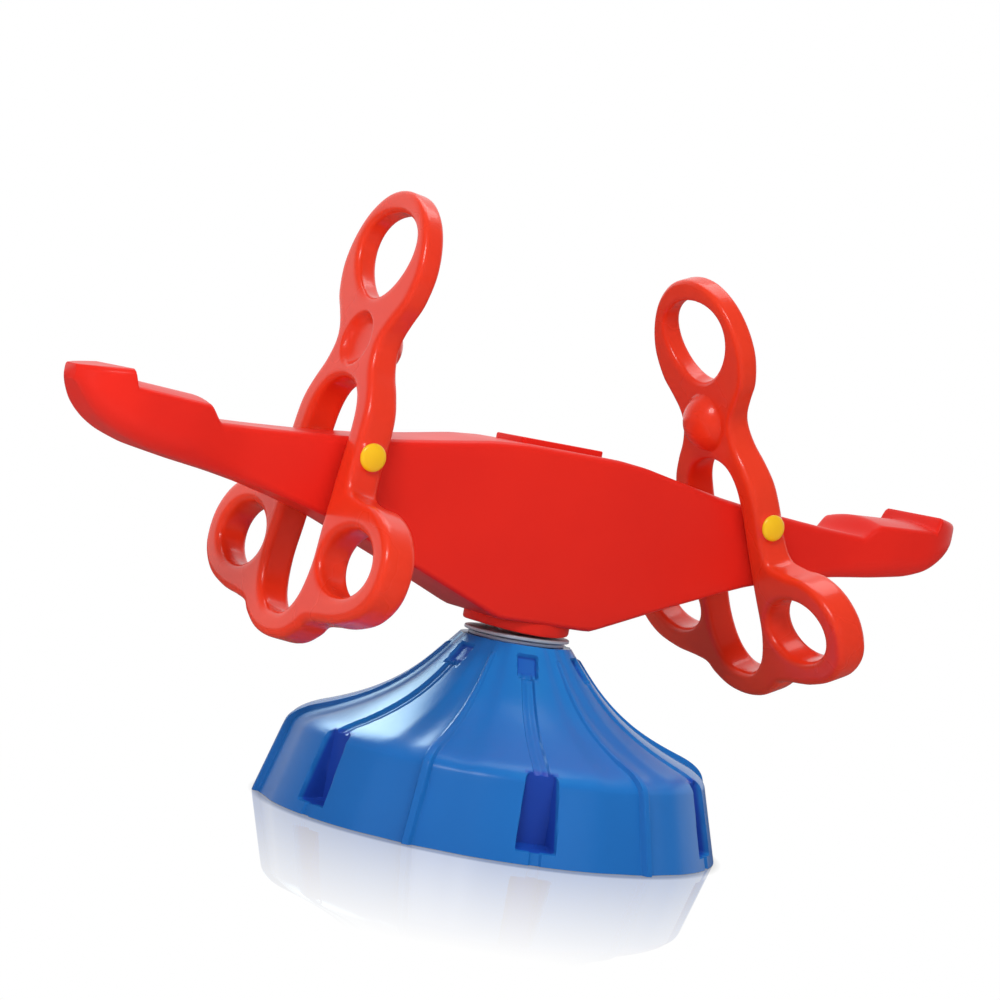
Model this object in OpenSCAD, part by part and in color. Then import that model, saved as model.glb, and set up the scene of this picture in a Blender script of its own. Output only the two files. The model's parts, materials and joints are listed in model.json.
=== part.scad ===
// Two-seat seesaw that rocks and spins: a moulded round base, a two-plate ball turntable,
// a hollow moulded beam with crowned seats, and two scissor-shaped handle frames that straddle it.
// Millimetres. Origin on the floor under the turntable, +X along the beam, +Z up.

/* [Base] */
// Diameter over the ribs at the floor
base_d = 750; // [700:5:800]
// Height of the deck under the turntable
base_h = 290; // [270:2:320]
// Height of the straight skirt
skirt_h = 112; // [95:1:125]
// How far the skirt leans in over its height
skirt_draft = 33; // [20:1:45]
// How far the rounded shoulder runs in
shoulder_in = 37; // [30:1:45]
// How far the rounded shoulder rises
shoulder_up = 28; // [22:1:36]
// Radius of the deck
deck_r = 88; // [86:1:96]
// Thickness of the deck
deck_t = 8; // [7:0.5:12]
// Moulded wall of the base
base_wall = 6; // [5:0.5:8]
// Width of the inward lip that stands on the floor
foot_lip = 26; // [20:1:40]
// Turn of the base under the beam, in degrees
base_turn = 19; // [0:0.5:59]
// Number of ribs, and of pockets between them
rib_count = 6; // [5:1:8]
// Height of a rib above the skin at the floor
rib_proud = 12; // [9:0.5:14]
// Width of a rib, in degrees
rib_deg = 2.6; // [2:0.1:4]
// Width of a skirt pocket at its foot
pocket_w = 64; // [50:1:76]
// Width of a skirt pocket at its head
pocket_head_w = 50; // [40:1:60]
// Depth of a skirt pocket behind the foot of the skirt
pocket_depth = 48; // [44:1:60]
// Height of the pocket's sill above the floor
pocket_sill = 20; // [12:1:26]
// Width of the groove up the flare, in degrees
groove_deg = 5; // [3:0.25:7]
// Depth of the grooves
groove_depth = 3; // [2:0.25:4]
// Side of the small square pocket at the head of each groove
notch = 26; // [20:1:30]

/* [Turntable] */
// Radius of the upper plate
upper_r = 83; // [78:0.5:86]
// Radius of the lower plate
lower_r = 76; // [72:0.5:80]
// Thickness of each plate
plate_t = 5; // [4:0.25:7]
// Gap between the plates
plate_gap = 2; // [1.5:0.1:3]
// Radius of a bearing ball
ball_r = 3; // [2.5:0.1:3.4]
// Radius of the ball circle
ball_circle_r = 64; // [58:0.5:66]
// Number of bearing balls
ball_count = 24; // [18:1:28]
// Radius of the king pin
king_r = 10; // [8:0.5:12]
// Wall of the plastic bushes
bush_wall = 4; // [3:0.25:5]
// Thickness of the backing plate under the deck
backing_t = 6; // [4:0.5:10]
// Radius of the stud circle
stud_circle_r = 48; // [44:0.5:52]
// Radius of a stud
stud_r = 5; // [4:0.5:6]

/* [Rocking pivot] */
// Height of the rocking axle above the deck
axle_rise = 255; // [248:1:260]
// Radius of the axle
axle_r = 10; // [8:0.5:11]
// Outer radius of the post
post_r = 30; // [26:1:32]
// Wall of the post
post_wall = 5; // [4:0.5:7]
// Half length of the cross sleeve on the post
sleeve_half = 31; // [30:0.5:36]
// Thickness of the saddle's steel
saddle_t = 6; // [5:0.5:8]
// Half width of the saddle's cheeks along the beam
cheek_half = 28; // [24:1:34]
// Rock of the beam as it stands, left seat up, in degrees
beam_rock = 1.2; // [-2:0.1:2]

/* [Beam] */
// Length over both seats
beam_len = 1618; // [1540:2:1700]
// Height of the flat top above the deck
belly_top_rise = 305; // [300:1:312]
// Height of the underside above the deck, beside the neck
belly_low_rise = 34; // [30:1:40]
// Half width over the pivot
belly_half = 88; // [86:0.5:94]
// Half width of the arms
arm_half = 64; // [60:0.5:66]
// Half width of the seats
seat_half = 84; // [76:1:92]
// Length of a seat, from its front to the beam's end
seat_len = 220; // [206:1:230]
// Fall of the beam's top from the middle to the seats
arm_fall = 50; // [46:1:54]
// Rise of the beam's underside from the middle to the ends
under_rise = 252; // [240:1:258]
// Height of the seats' side edges above the deck, at the front
rim_rise = 279; // [272:1:284]
// Climb of a seat from its front to its back
seat_climb = 6; // [0:0.5:10]
// Height of a seat's crown above its side edges
seat_crown = 8; // [2:0.5:12]
// Height of the seats' backs above the deck
back_rise = 308; // [302:1:314]
// Moulded wall of the beam
beam_wall = 6; // [5:0.5:8]
// Outer radius of the neck collar
neck_r = 84; // [78:0.5:86]
// Wall of the neck collar
neck_wall = 14; // [11:0.5:17]
// Gap from the upper plate to the middle of the neck's rim
neck_gap = 4; // [4:0.5:8]
// Rise of the neck's rim from its middle to its ends, for the rocking
neck_rise = 5; // [5:0.5:9]
// Length of the hub cover
cover_l = 150; // [144:1:170]
// Width of the hub cover
cover_w = 92; // [84:1:110]
// Height of the hub cover
cover_h = 9; // [8:0.5:12]

/* [Handles] */
// Distance of each handle's bolt from the pivot, along the beam
handle_x = 368; // [350:1:390]
// Height of the handle bolts above the deck
handle_rise = 244; // [240:1:247]
// Lean of the left handle towards the middle, in degrees
left_lean = 7; // [0:0.5:28]
// Lean of the right handle towards the middle, in degrees
right_lean = 23.5; // [0:0.5:28]
// Height of the hand ring's top above the bolt
ring_up = 402; // [390:1:412]
// Half width of the hand ring
ring_half = 122; // [118:1:130]
// Half width over the foot loops
loop_half = 287; // [278:1:296]
// Depth of the frame's foot below the bolt
toe_down = 296; // [288:1:304]
// Thickness at the legs
frame_t = 54; // [48:1:58]
// Thickness at the hand ring
ring_t = 36; // [32:1:40]
// Radius of the outer edges
edge_r = 13; // [9:0.5:15]
// Radius of the edges of the openings
mouth_r = 8; // [5:0.5:9]
// Half width of the slot that the beam passes through
slot_half = 70; // [69:0.5:76]
// Radius of the bolt
bolt_r = 6; // [5:0.5:8]
// Radius of the bosses round the bolt
boss_r = 22; // [21:0.5:24]
// Radius of the caps over the bolt ends
cap_r = 21; // [18:0.5:22]
// Rise of the caps
cap_rise = 6; // [4:0.5:9]

/* [Fits] */
// Running clearance of a shaft, on the radius
run_gap = 0.05; // [0.02:0.01:0.1]
// Clearance between pieces that turn face to face
face_gap = 0.4; // [0.2:0.1:0.8]
// Clearance of a bolt in its hole, on the radius
bolt_gap = 0.4; // [0.2:0.1:0.8]

/* [Hidden] */
$fn = 96;

// Colours as the object shows them
base_blue = "#2d69b9";
beam_red = "#e12d23";
frame_red = "#eb4123";
cap_yellow = "#fac814";
plate_grey = "#c9cdd8";
steel = "#8d9096";
nylon = "#e8e6df";
friction_black = "#2b2c30";

// Curves and rounded sections

function mix(a, b, t) = a + (b - a) * t;
function smooth_step(t) = let (u = min(1, max(0, t))) u * u * (3 - 2 * u);
function bezier2(a, b, c, t) = mix(mix(a, b, t), mix(b, c, t), t);
function bezier3(a, b, c, d, t) = mix(bezier2(a, b, c, t), bezier2(b, c, d, t), t);
function unit(v) = v / norm(v);
function arc(c, r, a0, a1, n) = [for (i = [0:n]) let (a = mix(a0, a1, i / n)) c + r * [cos(a), sin(a)]];
function reversed(list) = [for (i = [len(list) - 1:-1:0]) list[i]];
function mirrored(half) = concat(half, [for (p = reversed(half)) if (p[0] > 0.001) [-p[0], p[1]]]);

// A smooth curve through every point of an open list, with the given steps between points
function curve_point(a, b, c, d, t) =
    0.5 * (2 * b + (c - a) * t + (2 * a - 5 * b + 4 * c - d) * t * t + (3 * b - 3 * c + d - a) * t * t * t);
function through(pts, steps, before, after) =
    let (p = concat([before], pts, [after]), last = len(pts) - 2)
    concat([for (i = [0:last], s = [0:steps - 1]) curve_point(p[i], p[i + 1], p[i + 2], p[i + 3], s / steps)],
           [pts[len(pts) - 1]]);
// The same for half an outline whose ends lie on the middle line
function half_outline(pts, steps) =
    let (n = len(pts)) through(pts, steps, [-pts[1][0], pts[1][1]], [-pts[n - 2][0], pts[n - 2][1]]);

// Normal of a closed outline at point i, on its left side as the list runs
function outline_normal(pts, i) =
    let (n = len(pts), d = unit(pts[(i + 1) % n] - pts[(i + n - 1) % n])) [-d[1], d[0]];

// Closed skin over rings of equal length
module skin(rings) {
    n = len(rings[0]);
    m = len(rings);
    points = [for (ring = rings) each ring];
    sides = [for (k = [0:m - 2], i = [0:n - 1])
        let (a = k * n + i, b = k * n + (i + 1) % n, c = a + n, d = b + n) each [[a, d, b], [a, c, d]]];
    ends = [[for (i = [0:n - 1]) i], [for (i = [n - 1:-1:0]) (m - 1) * n + i]];
    polyhedron(points, concat(sides, ends));
}

// Base

foot_r = base_d / 2 - rib_proud;
skirt_top = [foot_r - skirt_draft, skirt_h];
shoulder_corner = skirt_top + shoulder_up * 0.57 * [-skirt_draft / skirt_h, 1];
shoulder_end = skirt_top + [-shoulder_in, shoulder_up];
flare_low = 20;
flare_high = 50;
flare_span = shoulder_end[0] - deck_r;
flare_rise = base_h - shoulder_end[1];
flare_c1 = shoulder_end + 0.62 * flare_span * [-cos(flare_low), sin(flare_low)];
flare_c2 = [deck_r, base_h] + 0.53 * flare_rise * [cos(flare_high), -sin(flare_high)];
function shoulder_at(t) = bezier2(skirt_top, shoulder_corner, shoulder_end, t);
function flare_at(t) = bezier3(shoulder_end, flare_c1, flare_c2, [deck_r, base_h], t);

shoulder_steps = 5;
flare_steps = 14;
base_skin = concat([[foot_r, 0]],
                   [for (i = [0:shoulder_steps - 1]) shoulder_at(i / shoulder_steps)],
                   [for (i = [0:flare_steps]) flare_at(i / flare_steps)]);

// The base's outline moved out by d, from point first to point last
function skin_normal(i) =
    let (a = base_skin[max(0, i - 1)], b = base_skin[min(len(base_skin) - 1, i + 1)], d = unit(b - a))
    i == 0 ? [1, 0] : [d[1], -d[0]];
function skin_out(d, first, last, fade = 0) =
    [for (i = [first:last]) base_skin[i] + d * (1 - fade * i / last) * skin_normal(i)];
skin_last = len(base_skin) - 1;
rib_fade = 0.5;

module base_solid(d = 0) {
    rotate_extrude() intersection() {
        polygon(concat([[0, 0]], skin_out(d, 0, skin_last), [[0, base_h + d]]));
        square([base_d, base_h]);
    }
}

// A strip of the skin's thickness, deg wide, raised (out) or sunk (in) between two points of the outline
module skin_strip(deg, below, above, first, last, fade = 0) {
    rotate([0, 0, -deg / 2]) rotate_extrude(angle = deg) intersection() {
        polygon(concat(skin_out(-below, first, last), reversed(skin_out(above, first, last, fade))));
        square([base_d, base_h]);
    }
}

pocket_head = skirt_h + 0.7 * shoulder_up;
module skirt_pocket(wall) {
    translate([foot_r - pocket_depth - wall, 0, 0]) rotate([90, 0, 90])
        linear_extrude(pocket_depth + wall + rib_proud)
            polygon([[-pocket_w / 2 - wall, pocket_sill - wall], [pocket_w / 2 + wall, pocket_sill - wall],
                     [pocket_head_w / 2 + wall, pocket_head + wall],
                     [-pocket_head_w / 2 - wall, pocket_head + wall]]);
}

notch_depth = 1.6 * groove_depth;
groove_first = shoulder_steps - 1;
groove_last = shoulder_steps + flare_steps - 3;
module groove_notch() {
    p = base_skin[groove_last];
    d = unit(base_skin[groove_last + 1] - base_skin[groove_last - 1]);
    translate([p[0], 0, p[1]]) rotate([0, -atan2(d[1], d[0]), 0])
        translate([-notch / 2, -notch / 2, -3 * notch_depth]) cube([notch, notch, 4 * notch_depth]);
}

module round_base(step_deg = 0) {
    for (i = [0:rib_count - 1]) rotate([0, 0, -90 - base_turn + step_deg + i * 360 / rib_count]) children();
}

module at_studs() {
    for (i = [0:3]) rotate([0, 0, 45 + 90 * i]) translate([stud_circle_r, 0, 0]) children();
}

module base_shell() color(base_blue) difference() {
    union() {
        difference() {
            base_solid();
            translate([0, 0, -1]) intersection() {
                translate([0, 0, 1]) base_solid(-base_wall);
                cylinder(r = base_d, h = base_h - deck_t + 1);
            }
            translate([0, 0, -1]) cylinder(r = foot_r - foot_lip, h = 2 + base_wall);
        }
        difference() {
            cylinder(r = foot_r - base_wall / 2, h = base_wall);
            translate([0, 0, -1]) cylinder(r = foot_r - foot_lip, h = base_wall + 2);
        }
        intersection() {
            base_solid();
            round_base() skirt_pocket(base_wall);
        }
        round_base(180 / rib_count) skin_strip(rib_deg, base_wall / 2, rib_proud, 0, skin_last - 1, rib_fade);
    }
    round_base() {
        skirt_pocket(0);
        translate([foot_r - 2 * groove_depth, -pocket_w / 8, -1])
            cube([pocket_depth, pocket_w / 4, pocket_sill + 2]);
        skin_strip(groove_deg, groove_depth, rib_proud, groove_first, groove_last);
        groove_notch();
    }
    translate([0, 0, base_h - 2 * deck_t]) cylinder(r = king_r + bush_wall, h = 3 * deck_t);
    translate([0, 0, base_h - 2 * deck_t]) at_studs() cylinder(r = stud_r + bolt_gap, h = 3 * deck_t);
}

// Turntable: everything is stacked up and down from the deck

lower_top = base_h + plate_t;
upper_low = lower_top + plate_gap;
upper_top = upper_low + plate_t;
ball_z = lower_top + plate_gap / 2;
backing_low = base_h - deck_t - backing_t;
stud_washer_t = 2;
stud_nut_t = 8;
stud_end = 3;
king_washer_t = 3;
king_nut_t = 16;
king_end = 4;
king_washer_low = backing_low - face_gap - king_washer_t;

module ball_race() {
    rotate_extrude() translate([ball_circle_r, ball_z]) circle(r = ball_r + run_gap);
}

module hex_prism(across_corners_r, h) {
    cylinder(r = across_corners_r, h = h, $fn = 6);
}

module backing_plate() color(steel) difference() {
    translate([0, 0, backing_low]) cylinder(r = stud_circle_r + 4 * stud_r, h = backing_t);
    translate([0, 0, backing_low - 1]) cylinder(r = king_r + bush_wall, h = backing_t + 2);
    translate([0, 0, backing_low - 1]) at_studs() cylinder(r = stud_r + bolt_gap, h = backing_t + 2);
}

module lower_plate() color(plate_grey) difference() {
    union() {
        translate([0, 0, base_h]) cylinder(r = lower_r, h = plate_t);
        stud_low = backing_low - stud_washer_t - stud_nut_t - stud_end;
        translate([0, 0, stud_low]) at_studs() cylinder(r = stud_r, h = lower_top - stud_low - plate_t / 2);
    }
    translate([0, 0, base_h - 1]) cylinder(r = king_r + bush_wall, h = plate_t + 2);
    ball_race();
}

module stud_washers() color(steel) translate([0, 0, backing_low - stud_washer_t]) at_studs() difference() {
    cylinder(r = 2 * stud_r, h = stud_washer_t);
    translate([0, 0, -1]) cylinder(r = stud_r + bolt_gap, h = stud_washer_t + 2);
}

module stud_nuts() color(steel)
    translate([0, 0, backing_low - stud_washer_t - stud_nut_t]) at_studs() difference() {
        hex_prism(1.85 * stud_r, stud_nut_t);
        translate([0, 0, -1]) cylinder(r = stud_r, h = stud_nut_t + 2);
    }

module king_bush() color(nylon) translate([0, 0, backing_low]) difference() {
    cylinder(r = king_r + bush_wall, h = lower_top - backing_low);
    translate([0, 0, -1]) cylinder(r = king_r + run_gap, h = lower_top - backing_low + 2);
}

module at_balls() {
    for (i = [0:ball_count - 1])
        rotate([0, 0, i * 360 / ball_count]) translate([ball_circle_r, 0, ball_z]) children();
}

module bearing_balls() color(steel) at_balls() sphere(r = ball_r, $fn = 32);

module ball_cage() color(nylon) difference() {
    cage_t = plate_gap / 2;
    cage_half = 2 * ball_r;
    translate([0, 0, ball_z - cage_t / 2]) cylinder(r = ball_circle_r + cage_half, h = cage_t);
    translate([0, 0, ball_z - cage_t]) cylinder(r = ball_circle_r - cage_half, h = 2 * cage_t);
    at_balls() translate([0, 0, -cage_t]) cylinder(r = ball_r + run_gap, h = 2 * cage_t, $fn = 32);
}

module upper_plate() color(plate_grey) difference() {
    translate([0, 0, upper_low]) cylinder(r = upper_r, h = plate_t);
    translate([0, 0, upper_low - 1]) cylinder(r = king_r, h = plate_t + 2);
    ball_race();
}

king_low = king_washer_low - king_nut_t - king_end;
module king_pin() color(steel) translate([0, 0, king_low]) cylinder(r = king_r, h = upper_top - king_low);

module king_washer() color(steel) translate([0, 0, king_washer_low]) difference() {
    cylinder(r = 2 * king_r, h = king_washer_t);
    translate([0, 0, -1]) cylinder(r = king_r, h = king_washer_t + 2);
}

module king_nut() color(steel) translate([0, 0, king_washer_low - king_nut_t]) difference() {
    hex_prism(1.75 * king_r, king_nut_t);
    translate([0, 0, -1]) cylinder(r = king_r, h = king_nut_t + 2);
}

// Rocking pivot: a post on the upper plate carries a cross sleeve, and the beam's saddle hangs on its axle

axle_z = base_h + axle_rise;
bush_r = axle_r + bush_wall;
cross_r = bush_r + post_wall + 2;
bush_flange_t = 2;
cheek_in = sleeve_half + bush_flange_t + face_gap;
cheek_out = cheek_in + saddle_t;
clip_t = 2;
axle_half = cheek_out + clip_t + 4;

module across(half) {
    translate([0, half, 0]) rotate([90, 0, 0]) children();
}

// Turns what the axle carries about it, by the beam's rock
module rocked() {
    translate([0, 0, axle_z]) rotate([0, beam_rock, 0]) translate([0, 0, -axle_z]) children();
}

module pivot_post() color(steel) difference() {
    union() {
        translate([0, 0, upper_top]) cylinder(r = post_r, h = axle_z - upper_top);
        translate([0, 0, axle_z]) across(sleeve_half) cylinder(r = cross_r, h = 2 * sleeve_half);
    }
    translate([0, 0, upper_top - 1]) cylinder(r = post_r - post_wall, h = axle_z - cross_r - upper_top + 1);
    translate([0, 0, axle_z]) across(sleeve_half + 1) cylinder(r = bush_r, h = 2 * sleeve_half + 2);
}

module post_bushes() color(nylon) for (side = [-1, 1])
    translate([0, 0, axle_z]) mirror([0, side < 0 ? 1 : 0, 0])
    translate([0, sleeve_half + bush_flange_t, 0]) rotate([90, 0, 0]) difference() {
        union() {
            cylinder(r = bush_r + post_wall, h = bush_flange_t);
            cylinder(r = bush_r, h = 0.7 * sleeve_half);
        }
        translate([0, 0, -1]) cylinder(r = axle_r + run_gap, h = sleeve_half);
    }

module pivot_axle() color(steel) translate([0, 0, axle_z]) across(axle_half)
    cylinder(r = axle_r, h = 2 * axle_half);

module axle_clips() color(steel) for (side = [-1, 1]) translate([0, side * (cheek_out + clip_t / 2), axle_z])
    across(clip_t / 2) difference() {
        cylinder(r = 1.5 * axle_r, h = clip_t);
        translate([0, 0, -1]) cylinder(r = axle_r, h = clip_t + 2);
    }

// Beam: lofted from sections along its length, the same to both ends

end_x = beam_len / 2;
belly_top_z = base_h + belly_top_rise;
belly_low_z = base_h + belly_low_rise;
rim_z = base_h + rim_rise;
back_z = base_h + back_rise;
handle_z = base_h + handle_rise;
neck_bore_r = neck_r - neck_wall;
seat_front = end_x - seat_len;
rim_front = seat_front + 0.14 * seat_len;
back_front = end_x - 0.35 * seat_len;
back_full = back_front + 0.05 * seat_len;
back_fall = 8;
end_round = 0.47 * seat_len;

function top_at(x) = belly_top_z - arm_fall * lookup(x, [[0, 0], [cover_l / 2, 0], [0.27 * end_x, 0.34],
    [0.37 * end_x, 0.58], [0.505 * end_x, 0.8], [0.62 * end_x, 0.92], [seat_front, 1]]);
function back_at(x) = back_z - back_fall * max(0, (x - back_full) / (end_x - back_full));
// How far a section lies up the seat's front, and up the front of its back, from 0 to 1
function seat_share(x) = smooth_step((x - seat_front) / (rim_front - seat_front));
function back_share(x) = smooth_step((x - back_front) / (back_full - back_front));
function edge_at(x) = rim_z + seat_climb * max(0, x - rim_front) / (back_front - rim_front);
function rim_at(x) =
    x < seat_front ? top_at(x)
    : mix(mix(top_at(seat_front), edge_at(x), seat_share(x)), back_at(x), back_share(x));
function crown_at(x) = seat_crown * seat_share(x) * (1 - back_share(x));
// The underside climbs gently along the arm and turns up round the seat's end
function low_at(x) = belly_low_z + under_rise * lookup(x, [[0, 0], [neck_r, 0], [0.28 * end_x, 0.212],
    [0.47 * end_x, 0.424], [0.545 * end_x, 0.488], [0.62 * end_x, 0.54], [0.69 * end_x, 0.576],
    [end_x - 0.86 * seat_len, 0.608], [end_x - 0.52 * seat_len, 0.656], [end_x - 0.33 * seat_len, 0.708],
    [end_x - 0.18 * seat_len, 0.776], [end_x - 0.08 * seat_len, 0.856], [end_x - 0.024 * seat_len, 0.944],
    [end_x, 1]]);
function plan_half(x) = lookup(x, [[0, belly_half], [neck_r, belly_half],
    [0.31 * end_x, mix(belly_half, arm_half, 0.6)], [handle_x - 40, arm_half + 2], [handle_x, arm_half],
    [seat_front - 40, arm_half], [rim_front + 20, seat_half], [end_x - end_round, seat_half]]);
function half_at(x) =
    let (t = (x - (end_x - end_round)) / end_round) plan_half(x) * (t > 0 ? sqrt(1 - 0.94 * t * t) : 1);

rim_edge = 10;

function beam_section(x) =
    let (h = half_at(x), zr = rim_at(x), zl = low_at(x),
         rb = min(mix(9, 34, seat_share(x)), 0.8 * h, 0.45 * (zr - zl)),
         rt = min(mix(14, rim_edge, seat_share(x)), 0.4 * h, 0.3 * (zr - zl)))
    concat(arc([h - rb, zl + rb], rb, -90, 0, 4), arc([h - rt, zr - rt], rt, 0, 90, 3),
           [for (t = [0.78, 0.5, 0.24, 0]) [t * (h - rt), zr + crown_at(x) * (1 - t * t)]]);

function cavity_section(x) =
    let (h = half_at(x) - beam_wall, zt = rim_at(x) - beam_wall, zl = low_at(x) + beam_wall,
         r = min(mix(5, 24, seat_share(x)), 0.3 * (zt - zl)))
    concat(arc([h - r, zl + r], r, -90, 0, 2), arc([h - r, zt - r], r, 0, 90, 2));

function ring_at(x, half) = [for (p = mirrored(half)) [x, p[0], p[1]]];

arm_x = [0, cover_l / 2, neck_r, 150, 0.28 * end_x, 0.37 * end_x, handle_x - 40, handle_x];
outer_x = concat(arm_x, [0.505 * end_x, 0.545 * end_x, 0.62 * end_x, 0.69 * end_x],
                 [for (t = [0:0.2:1]) mix(seat_front, rim_front, t)],
                 [for (t = [0.32, 0.5, 0.8, 1]) mix(rim_front, back_front, t)],
                 [for (t = [0.25, 0.6, 1]) mix(back_front, back_full, t)],
                 [for (t = [0.15, 0.3, 0.45, 0.6, 0.74, 0.86, 0.94, 1]) mix(back_full, end_x, t)]);
cavity_x = concat(arm_x, [0.545 * end_x, 0.62 * end_x, 0.69 * end_x],
                  [for (t = [0, 0.04, 0.12, 0.24, 0.42, 0.55, 0.645]) mix(seat_front, end_x, t)]);
function both_ways(list) = concat([for (i = [len(list) - 1:-1:1]) -list[i]], list);

module beam_outside() {
    skin([for (x = both_ways(outer_x)) ring_at(x, beam_section(abs(x)))]);
}
module beam_inside() {
    skin([for (x = both_ways(cavity_x)) ring_at(x, cavity_section(abs(x)))]);
}

neck_rim_z = upper_top + neck_gap;
rim_curve_r = (neck_r * neck_r + neck_rise * neck_rise) / (2 * neck_rise);
window_l = 96;
window_w = 52;
saddle_bolt_r = 4;
saddle_bolt_x = window_l / 2 + 9;
saddle_bolt_y = 18;
saddle_top = belly_top_z - beam_wall;
saddle_head_t = 5;
saddle_nut_t = 6;

module at_saddle_bolts() {
    for (sx = [-1, 1], sy = [-1, 1]) translate([sx * saddle_bolt_x, sy * saddle_bolt_y, 0]) children();
}
module at_handles() {
    for (side = [-1, 1]) translate([side * handle_x, 0, handle_z]) children();
}
tube_r = bolt_r + 4;
pad_half = arm_half + 2.5;

module beam_shell() color(beam_red) rocked() difference() {
    union() {
        difference() {
            union() {
                beam_outside();
                intersection() {
                    translate([0, 0, neck_rim_z])
                        cylinder(r = neck_r, h = belly_low_z + 2 * beam_wall - neck_rim_z);
                    translate([0, 0, neck_rim_z + rim_curve_r]) across(neck_r + 1)
                        cylinder(r = rim_curve_r, h = 2 * neck_r + 2);
                }
            }
            beam_inside();
        }
        at_handles() across(pad_half) cylinder(r = boss_r, h = 2 * pad_half);
    }
    translate([0, 0, neck_rim_z - 1]) cylinder(r = neck_bore_r, h = belly_low_z + 3 * beam_wall - neck_rim_z);
    translate([-window_l / 2, -window_w / 2, belly_top_z - 2 * beam_wall])
        cube([window_l, window_w, 3 * beam_wall]);
    translate([0, 0, belly_top_z - 2 * beam_wall]) at_saddle_bolts()
        cylinder(r = saddle_bolt_r + bolt_gap, h = 3 * beam_wall);
    at_handles() across(pad_half + 1) cylinder(r = tube_r, h = 2 * pad_half + 2);
}

cover_wall = 2.5;
module hub_cover() color(beam_red) rocked() translate([0, 0, belly_top_z]) difference() {
    translate([-cover_l / 2, -cover_w / 2, 0]) cube([cover_l, cover_w, cover_h]);
    translate([-cover_l / 2 + cover_wall, -cover_w / 2 + cover_wall, -1])
        cube([cover_l - 2 * cover_wall, cover_w - 2 * cover_wall, cover_h - cover_wall + 1]);
}

module saddle() color(steel) rocked() difference() {
    union() {
        translate([-saddle_bolt_x - 12, -cheek_out, saddle_top - saddle_t])
            cube([2 * saddle_bolt_x + 24, 2 * cheek_out, saddle_t]);
        for (side = [-1, 1]) translate([0, side * (cheek_in + cheek_out) / 2, 0]) {
            translate([-cheek_half, -saddle_t / 2, axle_z])
                cube([2 * cheek_half, saddle_t, saddle_top - axle_z]);
            translate([0, 0, axle_z]) across(saddle_t / 2) cylinder(r = cheek_half, h = saddle_t);
        }
    }
    translate([-window_l / 2, -window_w / 2, saddle_top - 2 * saddle_t])
        cube([window_l, window_w, 3 * saddle_t]);
    translate([0, 0, saddle_top - 2 * saddle_t]) at_saddle_bolts()
        cylinder(r = saddle_bolt_r + bolt_gap, h = 3 * saddle_t);
    translate([0, 0, axle_z]) across(cheek_out + 1) cylinder(r = axle_r, h = 2 * cheek_out + 2);
}

saddle_nut_low = saddle_top - saddle_t - saddle_nut_t;
module saddle_bolts() color(steel) rocked() at_saddle_bolts() {
    translate([0, 0, belly_top_z]) hex_prism(1.85 * saddle_bolt_r, saddle_head_t);
    translate([0, 0, saddle_nut_low - 2]) cylinder(r = saddle_bolt_r, h = belly_top_z - saddle_nut_low + 2);
}

module saddle_nuts() color(steel) rocked() at_saddle_bolts() translate([0, 0, saddle_nut_low]) difference() {
    hex_prism(1.85 * saddle_bolt_r, saddle_nut_t);
    translate([0, 0, -1]) cylinder(r = saddle_bolt_r, h = saddle_nut_t + 2);
}

module bolt_tube() color(steel) across(pad_half) difference() {
    cylinder(r = tube_r, h = 2 * pad_half);
    translate([0, 0, -1]) cylinder(r = bolt_r + run_gap, h = 2 * pad_half + 2);
}
module left_sleeve() rocked() translate([-handle_x, 0, handle_z]) bolt_tube();
module right_sleeve() rocked() translate([handle_x, 0, handle_z]) bolt_tube();

// Handle frame: half outlines as [half width, height over the bolt], each closed by its mirror image

leg_out = slot_half + 44;
loop_top = -0.23 * toe_down;
frame_half = half_outline([[0, ring_up], [0.39 * ring_half, 0.976 * ring_up],
    [0.73 * ring_half, 0.902 * ring_up], [0.935 * ring_half, 0.8 * ring_up], [ring_half, 0.69 * ring_up],
    [0.91 * ring_half, 0.583 * ring_up], [0.726 * ring_half, 0.508 * ring_up],
    [0.59 * ring_half, 0.447 * ring_up], [0.556 * ring_half, 0.392 * ring_up],
    [0.62 * ring_half, 0.322 * ring_up], [0.766 * ring_half, 0.25 * ring_up], [leg_out - 5, 0.163 * ring_up],
    [leg_out, 20], [leg_out, -24], [leg_out + 10, loop_top + 12], [0.565 * loop_half, loop_top + 1],
    [0.74 * loop_half, loop_top - 4], [0.9 * loop_half, -0.324 * toe_down], [loop_half, -0.466 * toe_down],
    [0.99 * loop_half, -0.642 * toe_down], [0.86 * loop_half, -0.77 * toe_down],
    [0.662 * loop_half, -0.831 * toe_down], [0.474 * loop_half, -0.851 * toe_down],
    [0.352 * loop_half, -0.872 * toe_down], [0.286 * loop_half, -0.922 * toe_down],
    [0.16 * loop_half, -0.98 * toe_down], [0, -toe_down]], 2);
slot_outline = half_outline([[0, 0.266 * ring_up], [0.55 * slot_half, 0.243 * ring_up],
    [0.88 * slot_half, 0.178 * ring_up], [slot_half, 30], [slot_half, -50],
    [slot_half + 2, -0.405 * toe_down], [slot_half + 4, -0.591 * toe_down],
    [0.88 * slot_half, -0.75 * toe_down], [0.48 * slot_half, -0.845 * toe_down],
    [0, -0.865 * toe_down]], 2);
hand_hole = [0, 0.748 * ring_up, 0.67 * ring_half, 0.167 * ring_up];
foot_hole = [0.603 * loop_half, -0.534 * toe_down, 0.265 * loop_half, 0.169 * toe_down];
hole_points = 28;

function frame_half_t(v) = mix(frame_t, ring_t, smooth_step((v - 0.1 * ring_up) / (0.55 * ring_up))) / 2;
function egg(hole, squeeze) = [for (i = [0:hole_points - 1]) let (a = 90 - 360 * i / hole_points)
    [hole[0] + hole[2] * cos(a) * (1 + squeeze * sin(a)), hole[1] + hole[3] * sin(a)]];

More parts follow.
